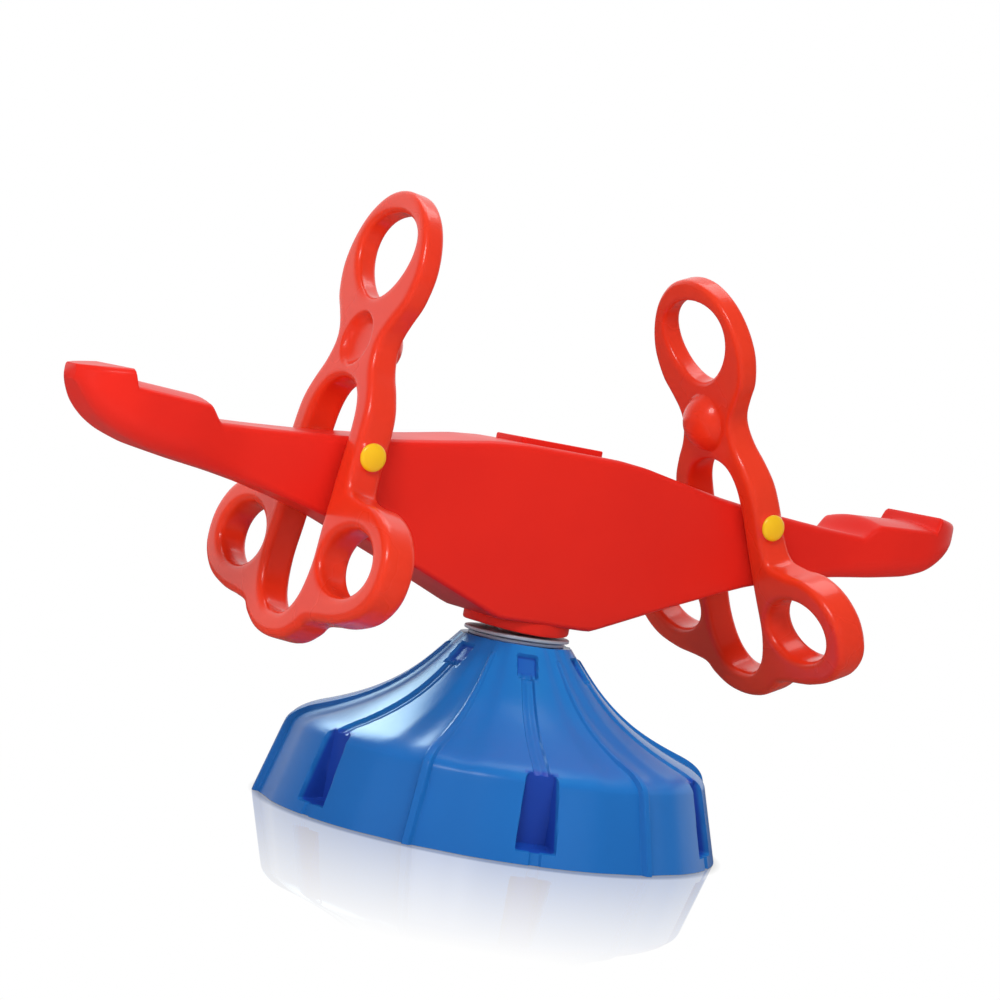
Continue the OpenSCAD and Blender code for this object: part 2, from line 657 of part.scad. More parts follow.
// One ring of the frame's rounded edge: a is 0 on the side wall and 90 where the edge meets the face
function frame_ring(pts, r, a, face) = [for (i = [0:len(pts) - 1])
    let (p = pts[i] - r * (1 - cos(a)) * outline_normal(pts, i))
    [face * (frame_half_t(pts[i][1]) - r * (1 - sin(a))), p[0], p[1]]];
// One ring of a cutter whose mouth widens to both faces, on the far side of a face when past is positive
function mouth_ring(pts, r, a, face, past) = [for (i = [0:len(pts) - 1])
    let (p = pts[i] + r * (1 - cos(a) + past / 10) * outline_normal(pts, i))
    [face * (frame_half_t(pts[i][1]) - r * (1 - sin(a)) + past), p[0], p[1]]];

edge_steps = [90, 50, 20, 0];
mouth_steps = [75, 35, 0];

module frame_body() {
    pts = mirrored(frame_half);
    n = len(pts);
    rings = concat([for (a = edge_steps) frame_ring(pts, edge_r, a, 1)],
                   [for (a = reversed(edge_steps)) frame_ring(pts, edge_r, a, -1)]);
    m = len(rings);
    points = [for (ring = rings) each ring];
    sides = [for (k = [0:m - 2], i = [0:n - 1])
        let (a = k * n + i, b = k * n + (i + 1) % n, c = a + n, d = b + n) each [[a, d, b], [a, c, d]]];
    // Each face is closed by level strips from an outline point to its mirror image
    strips = [for (i = [0:n / 2 - 1])
        let (a = i, b = i + 1, c = (n - i - 1) % n, d = (n - i) % n)
        each concat(i < n / 2 - 1 ? [[a, b, c]] : [], i > 0 ? [[a, c, d]] : [])];
    back = [for (f = strips) [for (i = [2:-1:0]) f[i] + (m - 1) * n]];
    polyhedron(points, concat(sides, strips, back));
}

module mouth(pts) {
    skin(concat([mouth_ring(pts, mouth_r, mouth_steps[0], 1, 2)],
                [for (a = mouth_steps) mouth_ring(pts, mouth_r, a, 1, 0)],
                [for (a = reversed(mouth_steps)) mouth_ring(pts, mouth_r, a, -1, 0)],
                [mouth_ring(pts, mouth_r, mouth_steps[0], -1, 2)]));
}

boss_in = slot_half - 1;
boss_out = slot_half + 48;
bore_floor = slot_half + 31;
bore_r = boss_r - 9;
washer_t = 2.5;
head_t = 7.5;
nut_t = 9;
bolt_end = 2;
dimple_v = 0.418 * ring_up;
dimple_r = 42;
dimple_depth = 14;
dome_r = 46;
dome_rise = 32;
waist_half_t = frame_half_t(dimple_v);
function cap_sphere(r, rise) = (r * r + rise * rise) / (2 * rise);

module dome() {
    ball = cap_sphere(dome_r, dome_rise);
    sweep = asin(dome_r / ball) + 2;
    rotate_extrude() polygon(concat([[0, -2 * dome_rise / 3]], [[ball * sin(sweep), -2 * dome_rise / 3]],
                                    arc([0, dome_rise - ball], ball, 90 - sweep, 90, 6)));
}

// The handle frame upright round its bolt, with its dimple towards -X and its dome towards +X
module handle_frame() color(frame_red) difference() {
    union() {
        difference() {
            frame_body();
            mouth(egg(hand_hole, 0.2));
            mouth(mirrored(slot_outline));
            for (side = [-1, 1]) mirror([0, side < 0 ? 1 : 0, 0]) mouth(egg(foot_hole, 0));
        }
        for (side = [-1, 1]) translate([0, side * (boss_in + boss_out) / 2, 0])
            across((boss_out - boss_in) / 2) cylinder(r = boss_r, h = boss_out - boss_in);
        translate([waist_half_t, 0, dimple_v]) rotate([0, 90, 0]) dome();
    }
    dimple_ball = cap_sphere(dimple_r, dimple_depth);
    translate([-waist_half_t + dimple_depth - dimple_ball, 0, dimple_v]) sphere(r = dimple_ball);
    across(boss_out + 1) cylinder(r = bolt_r + run_gap, h = 2 * boss_out + 2);
    for (side = [-1, 1]) translate([0, side * (bore_floor + boss_out + 1) / 2, 0])
        across((boss_out + 1 - bore_floor) / 2) cylinder(r = bore_r, h = boss_out + 1 - bore_floor);
}

module handle_bolt() color(steel) {
    translate([0, -bore_floor - washer_t, 0]) rotate([90, 0, 0]) hex_prism(1.75 * bolt_r, head_t);
    across(bore_floor + washer_t + nut_t + bolt_end)
        cylinder(r = bolt_r, h = 2 * (bore_floor + washer_t) + nut_t + bolt_end);
}

module handle_washers() color(steel) for (side = [-1, 1])
    translate([0, side * (bore_floor + washer_t / 2), 0]) across(washer_t / 2) difference() {
        cylinder(r = 2 * bolt_r, h = washer_t);
        translate([0, 0, -1]) cylinder(r = bolt_r + run_gap, h = washer_t + 2);
    }

module handle_nut() color(steel)
    translate([0, bore_floor + washer_t + nut_t, 0]) rotate([90, 0, 0]) difference() {
        hex_prism(1.75 * bolt_r, nut_t);
        translate([0, 0, -1]) cylinder(r = bolt_r, h = nut_t + 2);
    }

// Friction discs between the legs and the beam
spacer_r = boss_r - 6;
module handle_spacers() color(friction_black) for (side = [-1, 1])
    translate([0, side * (pad_half + boss_in) / 2, 0]) across((boss_in - pad_half) / 2) difference() {
        cylinder(r = spacer_r, h = boss_in - pad_half);
        translate([0, 0, -1]) cylinder(r = bolt_r + run_gap, h = boss_in - pad_half + 2);
    }

cap_rim = 2;
plug_depth = 6;
plug_wall = 2;
module bolt_cap() {
    ball = cap_sphere(cap_r, cap_rise);
    cylinder(r = cap_r, h = cap_rim);
    intersection() {
        translate([0, 0, cap_rim + cap_rise - ball]) sphere(r = ball);
        cylinder(r = cap_r, h = cap_rim + cap_rise);
    }
    translate([0, 0, -plug_depth]) difference() {
        cylinder(r = bore_r - run_gap, h = plug_depth);
        translate([0, 0, -1]) cylinder(r = bore_r - plug_wall, h = plug_depth + 1);
    }
}
module handle_caps() color(cap_yellow) for (turn = [0, 180]) rotate([0, 0, turn])
    translate([0, -boss_out, 0]) rotate([90, 0, 0]) bolt_cap();

// Places a handle piece on the beam; the right-hand handle is turned to face the other seat
module on_left() {
    rocked() translate([-handle_x, 0, handle_z]) rotate([0, left_lean, 0]) children();
}
module on_right() {
    rocked() translate([handle_x, 0, handle_z]) rotate([0, -right_lean, 0]) rotate([0, 0, 180]) children();
}

module left_frame() on_left() handle_frame();
module left_bolt() on_left() handle_bolt();
module left_washers() on_left() handle_washers();
module left_nut() on_left() handle_nut();
module left_spacers() on_left() handle_spacers();
module left_caps() on_left() handle_caps();
module right_frame() on_right() handle_frame();
module right_bolt() on_right() handle_bolt();
module right_washers() on_right() handle_washers();
module right_nut() on_right() handle_nut();
module right_spacers() on_right() handle_spacers();
module right_caps() on_right() handle_caps();

base_shell();
backing_plate();
lower_plate();
stud_washers();
stud_nuts();
king_bush();
bearing_balls();
ball_cage();
upper_plate();
king_pin();
king_washer();
king_nut();
pivot_post();
post_bushes();
beam_shell();
hub_cover();
saddle();
saddle_bolts();
saddle_nuts();
pivot_axle();
axle_clips();
left_sleeve();
right_sleeve();
left_frame();
left_bolt();
left_washers();
left_nut();
left_spacers();
left_caps();
right_frame();
right_bolt();
right_washers();
right_nut();
right_spacers();
right_caps();
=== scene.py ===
import json
import math

import bmesh
import bpy
from mathutils import Matrix, Vector


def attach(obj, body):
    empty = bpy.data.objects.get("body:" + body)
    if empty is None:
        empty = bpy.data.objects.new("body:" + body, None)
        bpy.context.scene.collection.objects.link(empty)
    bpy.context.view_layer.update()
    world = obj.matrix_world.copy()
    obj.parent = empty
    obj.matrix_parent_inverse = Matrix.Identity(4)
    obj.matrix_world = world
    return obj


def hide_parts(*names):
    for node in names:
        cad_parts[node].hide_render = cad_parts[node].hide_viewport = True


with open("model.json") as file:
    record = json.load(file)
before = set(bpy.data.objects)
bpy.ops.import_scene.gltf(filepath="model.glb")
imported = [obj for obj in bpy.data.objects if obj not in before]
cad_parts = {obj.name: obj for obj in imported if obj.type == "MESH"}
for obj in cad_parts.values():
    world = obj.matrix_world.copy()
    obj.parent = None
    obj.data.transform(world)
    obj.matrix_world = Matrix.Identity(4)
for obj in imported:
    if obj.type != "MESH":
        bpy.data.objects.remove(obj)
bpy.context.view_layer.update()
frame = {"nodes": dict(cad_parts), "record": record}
scene = bpy.context.scene
tiny = 1e-6
print("frame loaded")


# Curves

def mix(a, b, t):
    return a + (b - a) * t


def smoothStep(t):
    u = min(1.0, max(0.0, t))
    return u * u * (3 - 2 * u)


# 1 below the limit and 0 above it, with half of the soft step on either side
def under(x, limit, soft):
    return smoothStep((limit - x) / soft + 0.5)


def band(x, low, high, soft):
    return under(-x, -low, soft) * under(x, high, soft)


def bezier(points, t):
    while len(points) > 1:
        points = [a.lerp(b, t) for a, b in zip(points, points[1:])]
    return points[0]


def straightLine(table, x):
    if x <= table[0][0]:
        return table[0][1]
    for (x0, y0), (x1, y1) in zip(table, table[1:]):
        if x <= x1:
            return mix(y0, y1, (x - x0) / (x1 - x0))
    return table[-1][1]


# The straight line averaged over its reach to either side, so that its corners are rounded
def softLine(table, x, reach):
    steps = [k / 4 for k in range(-4, 5)]
    weights = [1.25 - abs(k) for k in steps]
    total = sum(w * straightLine(table, abs(x + k * reach)) for k, w in zip(steps, weights))
    return total / sum(weights)


def splinePoint(a, b, c, d, t):
    return 0.5 * (2 * b + (c - a) * t + (2 * a - 5 * b + 4 * c - d) * t * t
                  + (3 * b - 3 * c + d - a) * t ** 3)


# Smooth line through the points, which meets its mirror image without a corner
def halfOutline(points, steps):
    p = [Vector(q) for q in points]
    p = [Vector((-p[1].x, p[1].y))] + p + [Vector((-p[-2].x, p[-2].y))]
    line = [splinePoint(p[i], p[i + 1], p[i + 2], p[i + 3], s / steps)
            for i in range(len(p) - 3) for s in range(steps)]
    return line + [p[-2]]


def mirrorOutline(half):
    return half + [Vector((-p.x, p.y)) for p in reversed(half) if p.x > tiny]


def quarterTurn(steps):
    return [math.pi / 2 * k / steps for k in range(steps + 1)]


def circle(radius, steps):
    return [(radius * math.cos(2 * math.pi * k / steps), radius * math.sin(2 * math.pi * k / steps))
            for k in range(steps)]


def roundedProfile(rIn, rOut, low, high, edge, steps=4):
    arc = quarterTurn(steps)
    return ([(rIn, low)]
            + [(rOut - edge + edge * math.sin(a), low + edge - edge * math.cos(a)) for a in arc]
            + [(rOut - edge + edge * math.cos(a), high - edge + edge * math.sin(a)) for a in arc]
            + [(rIn, high)])


# Meshes

def ringEdges(bm, ring):
    return [bm.edges.get(pair) or bm.edges.new(pair) for pair in zip(ring, ring[1:] + ring[:1])]


def loft(bm, rings):
    ring = [bm.verts.new(p) for p in rings[0]]
    first = last = ringEdges(bm, ring)
    for points in rings[1:]:
        fresh = set(bmesh.ops.extrude_edge_only(bm, edges=last)["geom"])
        ring = [next(e.other_vert(v) for e in v.link_edges if e.other_vert(v) in fresh)
                for v in ring]
        for v, p in zip(ring, points):
            v.co = p
        last = ringEdges(bm, ring)
    bmesh.ops.edgeloop_fill(bm, edges=first)
    bmesh.ops.edgeloop_fill(bm, edges=last)


def lathe(bm, profile, steps=128):
    line = [bm.verts.new((r, 0, z)) for r, z in profile]
    bmesh.ops.spin(bm, geom=line + ringEdges(bm, line), cent=(0, 0, 0), axis=(0, 0, 1),
                   dvec=(0, 0, 0), angle=2 * math.pi, steps=steps, use_merge=True)


# Mesh of a curve, or of a mesh with its modifiers applied
def bakedMesh(holder):
    scene.collection.objects.link(holder)
    graph = bpy.context.evaluated_depsgraph_get()
    mesh = bpy.data.meshes.new_from_object(holder.evaluated_get(graph))
    bpy.data.objects.remove(holder)
    return mesh


def finishPiece(name, mesh, material, body, nodes, sharp):
    mesh.materials.clear()
    mesh.materials.append(material)
    mesh.shade_smooth()
    mesh.set_sharp_from_angle(angle=math.radians(sharp))
    piece = bpy.data.objects.new(name, mesh)
    scene.collection.objects.link(piece)
    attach(piece, body)
    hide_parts(*nodes)
    print("made", name, len(mesh.polygons))


def finishMesh(name, bm, material, body, nodes, sharp):
    bmesh.ops.recalc_face_normals(bm, faces=bm.faces)
    mesh = bpy.data.meshes.new(name)
    bm.to_mesh(mesh)
    bm.free()
    finishPiece(name, mesh, material, body, nodes, sharp)


# Materials

class Field:
    def __init__(self, tree, socket):
        self.tree = tree
        self.socket = socket

    def math(self, operation, other=0.0):
        step = self.tree.nodes.new("ShaderNodeMath")
        step.operation = operation
        self.tree.links.new(self.socket, step.inputs[0])
        if isinstance(other, Field):
            self.tree.links.new(other.socket, step.inputs[1])
        else:
            step.inputs[1].default_value = other
        return Field(self.tree, step.outputs[0])

    def __add__(self, other):
        return self.math("ADD", other)

    def __sub__(self, other):
        return self.math("SUBTRACT", other)

    def __rsub__(self, other):
        return self.math("MULTIPLY", -1.0).math("ADD", other)

    def __mul__(self, other):
        return self.math("MULTIPLY", other)

    __radd__ = __add__
    __rmul__ = __mul__

    def unit(self):
        return self.math("MAXIMUM").math("MINIMUM", 1.0)

    def node(self, kind, inputs, output=0, **settings):
        made = self.tree.nodes.new(kind)
        for key, value in settings.items():
            setattr(made, key, value)
        for key, value in inputs.items():
            if isinstance(value, Field):
                self.tree.links.new(value.socket, made.inputs[key])
            else:
                made.inputs[key].default_value = value
        return Field(self.tree, made.outputs[output])

    def blend(self, low, high):
        return self.node("ShaderNodeMix", {"Factor": self, "A": low, "B": high}, output=2,
                         data_type="RGBA", clamp_factor=True)


def startMaterial(name):
    material = bpy.data.materials.new(name)
    material.use_nodes = True
    tree = material.node_tree
    shader = tree.nodes["Principled BSDF"]
    place = tree.nodes.new("ShaderNodeTexCoord")
    return material, tree, shader, Field(tree, place.outputs["Object"])


plastic = {
    "cloud": {"Scale": 5.0, "Detail": 3.0, "Roughness": 0.5}, "cloudFrom": 0.35, "cloudGain": 1.6,
    "fine": {"Scale": 420.0, "Detail": 2.0}, "fineShare": 0.12,
    "wave": {"Scale": 16.0, "Detail": 1.0}, "waveShare": 0.9,
    "relief": 0.0012, "roughSpread": 0.12, "coatRough": 0.06,
}


def mouldedPlastic(name, colour, deeper, rough, coat, grain, shade=None, mask=None, specular=0.3):
    material, tree, shader, place = startMaterial(name)
    cloud, fine, wave = (place.node("ShaderNodeTexNoise", {"Vector": place, **plastic[kind]})
                         for kind in ("cloud", "fine", "wave"))
    share = (cloud - plastic["cloudFrom"]) * plastic["cloudGain"]
    tint = share.blend((*colour, 1), (*deeper, 1))
    if shade:
        tint = mask(place).blend(tint, (*shade, 1))
    tree.links.new(tint.socket, shader.inputs["Base Color"])
    spread = plastic["roughSpread"]
    tree.links.new((cloud * spread + (rough - spread / 2)).socket, shader.inputs["Roughness"])
    height = fine * plastic["fineShare"] + wave * plastic["waveShare"]
    bump = place.node("ShaderNodeBump", {"Strength": grain, "Distance": plastic["relief"],
                                         "Height": height})
    tree.links.new(bump.socket, shader.inputs["Normal"])
    shader.inputs["Coat Weight"].default_value = coat
    shader.inputs["Coat Roughness"].default_value = plastic["coatRough"]
    shader.inputs["Specular IOR Level"].default_value = specular
    return material


metal = {"cloud": {"Scale": 60.0, "Detail": 4.0}, "roughSpread": 0.2}


def plainMetal(name, colour, rough, metallic):
    material, tree, shader, place = startMaterial(name)
    cloud = place.node("ShaderNodeTexNoise", {"Vector": place, **metal["cloud"]})
    spread = metal["roughSpread"]
    tree.links.new((cloud * spread + (rough - spread / 2)).socket, shader.inputs["Roughness"])
    shader.inputs["Base Color"].default_value = (*colour, 1)
    shader.inputs["Metallic"].default_value = metallic
    return material


red = mouldedPlastic("redPlastic", (0.810, 0.023, 0.013), (0.750, 0.018, 0.012),
                     rough=0.34, coat=0.02, grain=0.1, specular=0.11)
orangeRed = mouldedPlastic("orangeRedPlastic", (0.840, 0.044, 0.013), (0.780, 0.028, 0.011),
                           rough=0.27, coat=0.22, grain=0.08, specular=0.26)
yellow = mouldedPlastic("yellowPlastic", (0.960, 0.560, 0.010), (0.920, 0.500, 0.008),
                        rough=0.3, coat=0.2, grain=0.05)
zinc = plainMetal("zincPlate", (0.50, 0.54, 0.62), rough=0.5, metallic=0.4)
darkSteel = plainMetal("innerSteel", (0.4, 0.41, 0.43), rough=0.45, metallic=0.85)
nylon = mouldedPlastic("nylon", (0.78, 0.76, 0.70), (0.72, 0.70, 0.64),
                       rough=0.5, coat=0.0, grain=0.05)
black = mouldedPlastic("frictionDisc", (0.024, 0.025, 0.029), (0.018, 0.019, 0.022),
                       rough=0.6, coat=0.0, grain=0.05)
print("materials made")


# Base

base = {
    "foot": 0.363, "deckHeight": 0.290, "deckRadius": 0.088, "wall": 0.006, "turn": 19.0,
    "count": 6, "skirtHeight": 0.112, "skirtDraft": 0.033, "sharp": 42, "edgeSoft": 0.003,
    "shoulderIn": 0.037, "shoulderUp": 0.028, "shoulderCorner": 0.57,
    "flareFoot": 20, "flareFootReach": 0.62, "flareHead": 50, "flareHeadReach": 0.53,
    "flute": 0.0025, "fluteHead": 0.7, "fluteFrom": 0.20, "fluteOver": 0.08,
    "ribProud": 0.0088, "ribHalf": 0.0068, "ribSoft": 0.0035, "ribEnd": 0.268, "ribEndOver": 0.008,
    "ribThin": 0.5, "ribThinFrom": 0.13, "ribThinOver": 0.13,
    "ribLow": 0.45, "ribLowFrom": 0.10, "ribLowOver": 0.08,
    "grooveHalf": 0.0095, "grooveDepth": 0.0046, "grooveLow": 0.126, "grooveHigh": 0.252,
    "grooveSoft": 0.008, "grooveFoot": 1.25, "grooveHead": 0.95, "grooveFrom": 0.13,
    "grooveOver": 0.12, "grooveRidge": 0.35, "grooveRidgeHalf": 0.004,
    "notchHalf": 0.0155, "notchDepth": 0.0075, "notchLow": 0.247, "notchHigh": 0.277,
    "footSlotHalf": 0.008, "footSlotDepth": 0.004,
    "pocketLow": 0.020, "pocketHigh": 0.131, "pocketHalf": 0.032, "pocketHeadHalf": 0.025,
    "pocketBack": 0.315, "pocketWall": 0.16, "pocketArch": 0.012, "pocketSoft": 0.004,
    "fineToPocket": 7, "fineFromRib": 26,
    "skirtRows": [0, 0.06, 0.11, 0.14, 0.16, 0.175, 0.19, 0.205, 0.23, 0.28, 0.38, 0.5, 0.62, 0.74,
                  0.84, 0.92],
    "shoulderRows": [k / 16 for k in range(16)],
    "flareRows": [k / 40 for k in range(30)] + [0.75 + k / 144 for k in range(37)],
    "innerSkirtRows": [0, 0.12, 0.25, 0.6], "innerShoulderRows": [0, 0.5],
    "innerFlareRows": [k / 9 for k in range(10)],
}

# Cones just inside the skin, at a radius that shrinks with height: what lies deeper is shaded
shadow = {
    "skirt": 0.3585, "skirtLean": 0.295, "skirtFade": 180, "skirtTop": 0.1325, "skirtTopFade": 250,
    "head": 0.339, "headLean": 0.883, "headFade": 250, "headLow": 0.245, "headLowFade": 200,
    "headShare": 0.7, "margin": 0.0015, "pocketLean": 0.0534, "sideFade": 400,
}


def pocketShade(place):
    split = place.node("ShaderNodeSeparateXYZ", {"Vector": place}).socket.node
    x, y, z = (Field(place.tree, s) for s in split.outputs)
    radius = (x * x + y * y).math("SQRT")
    turned = y.math("ARCTAN2", x) + math.radians(90 + base["turn"])
    across = turned.math("PINGPONG", math.pi / base["count"]) * radius
    skirt = (shadow["skirtFade"] * (shadow["skirt"] - shadow["skirtLean"] * z - radius)).unit()
    skirt = skirt * (shadow["skirtTopFade"] * (shadow["skirtTop"] - z)).unit()
    head = (shadow["headFade"] * (shadow["head"] - shadow["headLean"] * z - radius)).unit()
    head = head * (shadow["headLowFade"] * (z - shadow["headLow"])).unit()
    pocketHalf = base["pocketHalf"] + shadow["margin"] - shadow["pocketLean"] * z
    inPocket = (shadow["sideFade"] * (pocketHalf - across)).unit()
    inNotch = (shadow["sideFade"] * (base["notchHalf"] + shadow["margin"] - across)).unit()
    return (skirt * inPocket).math("MAXIMUM", shadow["headShare"] * (head * inNotch))


blue = mouldedPlastic("bluePlastic", (0.015, 0.132, 0.440), (0.013, 0.115, 0.396),
                      rough=0.25, coat=0.0, grain=0.04,
                      shade=(0.014, 0.055, 0.360), mask=pocketShade, specular=0.16)


# Points up the side with their outward normals, as radius and height
def baseProfile(skirtRows, shoulderRows, flareRows):
    foot = Vector((base["foot"], 0))
    skirtTop = foot + Vector((-base["skirtDraft"], base["skirtHeight"]))
    lean = Vector((-base["skirtDraft"] / base["skirtHeight"], 1))
    corner = skirtTop + base["shoulderUp"] * base["shoulderCorner"] * lean
    end = skirtTop + Vector((-base["shoulderIn"], base["shoulderUp"]))
    deck = Vector((base["deckRadius"], base["deckHeight"]))
    low, high = math.radians(base["flareFoot"]), math.radians(base["flareHead"])
    fromFoot = Vector((-math.cos(low), math.sin(low)))
    fromDeck = Vector((math.cos(high), -math.sin(high)))
    c1 = end + base["flareFootReach"] * (end.x - deck.x) * fromFoot
    c2 = deck + base["flareHeadReach"] * (deck.y - end.y) * fromDeck
    line = [foot.lerp(skirtTop, t) for t in skirtRows]
    line += [bezier([skirtTop, corner, end], t) for t in shoulderRows]
    line += [bezier([end, c1, c2, deck], t) for t in flareRows]
    result = []
    for i, p in enumerate(line):
        d = (line[min(i + 1, len(line) - 1)] - line[max(i - 1, 0)]).normalized()
        result.append((p, Vector((d.y, -d.x)) if i else Vector((1, 0))))
    return result


# Degrees round the base, in quarters near each pocket and rib and whole between them
def baseAngles():
    step = 360 / base["count"]
    near, far, rib = base["fineToPocket"], base["fineFromRib"], 180 // base["count"]
    half = [k / 4 for k in range(4 * near + 1)] + list(range(near + 1, far + 1))
    half += [far + k / 4 for k in range(1, 4 * (rib - far) + 1)]
    sector = [-a for a in reversed(half[1:-1])] + half
    return [i * step - 90 - base["turn"] + a for i in range(base["count"]) for a in sector]


# Height of the skin over the plain profile: ribs, flutes, grooves, head pockets and foot slots
def baseRise(z, across, ribAcross, ribShare):
    soft = base["edgeSoft"]
    thin = smoothStep((z - base["ribThinFrom"]) / base["ribThinOver"])
    lower = smoothStep((z - base["ribLowFrom"]) / base["ribLowOver"])
    ending = smoothStep((z - base["ribEnd"]) / base["ribEndOver"])
    ribHalf = base["ribHalf"] * mix(1, base["ribThin"], thin)
    ribRise = base["ribProud"] * mix(1, base["ribLow"], lower) * (1 - ending)
    rise = ribRise * under(ribAcross, ribHalf, base["ribSoft"])
    headShare = smoothStep((z - base["fluteFrom"]) / base["fluteOver"])
    fluteDepth = base["flute"] * mix(1, base["fluteHead"], headShare)
    rise -= fluteDepth * math.sin(math.pi * min(1, ribShare)) ** 2
    grooveHalf = base["grooveHalf"] * mix(base["grooveFoot"], base["grooveHead"],
                                          (z - base["grooveFrom"]) / base["grooveOver"])
    ridge = base["grooveRidge"] * math.exp(-(across / base["grooveRidgeHalf"]) ** 2)
    channel = under(across, grooveHalf, soft) * (1 - ridge)
    rise -= base["grooveDepth"] * band(z, base["grooveLow"], base["grooveHigh"],
                                       base["grooveSoft"]) * channel
    rise -= base["notchDepth"] * under(across, base["notchHalf"], soft) * band(
        z, base["notchLow"], base["notchHigh"], soft)
    footSlot = under(across, base["footSlotHalf"], soft) * under(z, base["pocketLow"], soft)
    return rise - base["footSlotDepth"] * footSlot


def basePoint(p, normal, angle, inset):
    step = 360 / base["count"]
    fromPocket = (angle + 90 + base["turn"] + step / 2) % step - step / 2
    fromRib = (angle + 90 + base["turn"]) % step - step / 2
    across = math.radians(abs(fromPocket)) * p.x
    ribAcross = math.radians(abs(fromRib)) * p.x
    rise = baseRise(p.y, across, ribAcross, abs(fromRib) / (step / 4))
    q = p + normal * (rise - inset)
    half = mix(base["pocketHalf"], base["pocketHeadHalf"], p.y / base["pocketHigh"])
    draft = min(1, max(0, (half - across) / (base["pocketWall"] * half)))
    pocketTop = base["pocketHigh"] - base["pocketArch"] * (across / half) ** 4
    pocket = draft * band(p.y, base["pocketLow"], pocketTop, base["pocketSoft"])
    back = base["pocketBack"] / math.cos(math.radians(fromPocket)) - inset
    r = mix(q.x, min(back, q.x), pocket)
    a = math.radians(angle)
    return r * math.cos(a), r * math.sin(a), max(0.0, q.y) if p.y > 0 else 0.0


def makeBase():
    bm = bmesh.new()
    angles = baseAngles()
    outerLine = baseProfile(base["skirtRows"], base["shoulderRows"], base["flareRows"])
    innerLine = baseProfile(base["innerSkirtRows"], base["innerShoulderRows"],
                            base["innerFlareRows"])
    outside = [[basePoint(p, n, a, 0) for a in angles] for p, n in outerLine]
    inside = [[basePoint(p, n, a, base["wall"]) for a in angles] for p, n in innerLine]
    loft(bm, inside[::-1] + outside)
    finishMesh("baseMoulding", bm, blue, "base", ["base_shell"], base["sharp"])


makeBase()


# Turntable plates

plates = {"deck": 0.290, "thick": 0.005, "gap": 0.002, "lower": 0.076, "lowerBore": 0.014,
          "upper": 0.083, "upperBore": 0.010, "edge": 0.0012, "sharp": 35}


def makePlate(name, radius, low, bore, body, node):
    bm = bmesh.new()
    lathe(bm, roundedProfile(bore, radius, low, low + plates["thick"], plates["edge"]))
    finishMesh(name, bm, zinc, body, [node], plates["sharp"])


makePlate("lowerRing", plates["lower"], plates["deck"], plates["lowerBore"], "base", "lower_plate")
makePlate("upperRing", plates["upper"], plates["deck"] + plates["thick"] + plates["gap"],
          plates["upperBore"], "turntable", "upper_plate")


# Beam: tables give heights and half widths along one arm

beam = {
    "axle": 0.545, "rock": 1.2, "end": 0.809, "endRound": 0.1034, "endShare": 0.94, "sharp": 35,
    "seatFront": 0.589, "rimFront": 0.6198, "backFront": 0.732, "backFull": 0.743,
    "rim": 0.569, "climb": 0.006, "crown": 0.008, "back": 0.598, "backFall": 0.008,
    "top": [(0, 0.595), (0.085, 0.595), (0.140, 0.5905), (0.2184, 0.578), (0.299, 0.566),
            (0.4085, 0.555), (0.5016, 0.549), (0.589, 0.545), (0.9, 0.545)],
    "low": [(0, 0.324), (0.084, 0.324), (0.2265, 0.3774), (0.380, 0.4308), (0.441, 0.447),
            (0.5016, 0.4601), (0.558, 0.4692), (0.6198, 0.4772), (0.6946, 0.4893),
            (0.7364, 0.5024), (0.7694, 0.5196), (0.7914, 0.5397), (0.8037, 0.5619),
            (0.809, 0.576), (0.9, 0.576)],
    "plan": [(0, 0.088), (0.084, 0.088), (0.2508, 0.0736), (0.328, 0.066), (0.368, 0.064),
             (0.549, 0.064), (0.640, 0.084), (0.9, 0.084)],
    "topSoft": 0.012, "lowSoft": 0.008, "lowSoftFar": 0.016, "lowFar": 0.5,
    "planSoft": 0.060, "planSoftFar": 0.024, "planFar": 0.3,
    "bottomEdge": 0.009, "bottomEdgeEnd": 0.034, "bottomFrom": 0.45, "bottomOver": 0.2,
    "bottomOfWidth": 0.8, "bottomOfHeight": 0.45,
    "topEdge": 0.013, "topEdgeSeat": 0.010, "topOfWidth": 0.4, "topOfHeight": 0.3,
    "edgeSteps": 6, "wallSteps": 6, "topSteps": 12,
    "stations": [(0.0, 0.012, range(1, 50)), (0.5905, 0.003, range(12)), (0.633, 0.009, range(11)),
                 (0.7285, 0.0018, range(10)), (0.7485, 0.004, range(12))],
    "endStations": [0.7965, 0.7995, 0.8025, 0.805, 0.807, 0.8083, 0.809],
    "neckRadius": 0.084, "neckBore": 0.070, "neckRim": 0.306, "neckRise": 0.005, "neckTop": 0.336,
    "neckEdge": 0.004, "neckBevel": 0.3,
}

rockTurn = (Matrix.Translation((0, 0, beam["axle"]))
            @ Matrix.Rotation(math.radians(beam["rock"]), 4, "Y")
            @ Matrix.Translation((0, 0, -beam["axle"])))


def beamHalf(u):
    half = softLine(beam["plan"], u, beam["planSoft" if u < beam["planFar"] else "planSoftFar"])
    t = (u - (beam["end"] - beam["endRound"])) / beam["endRound"]
    return half * math.sqrt(max(0, 1 - beam["endShare"] * t * t)) if t > 0 else half


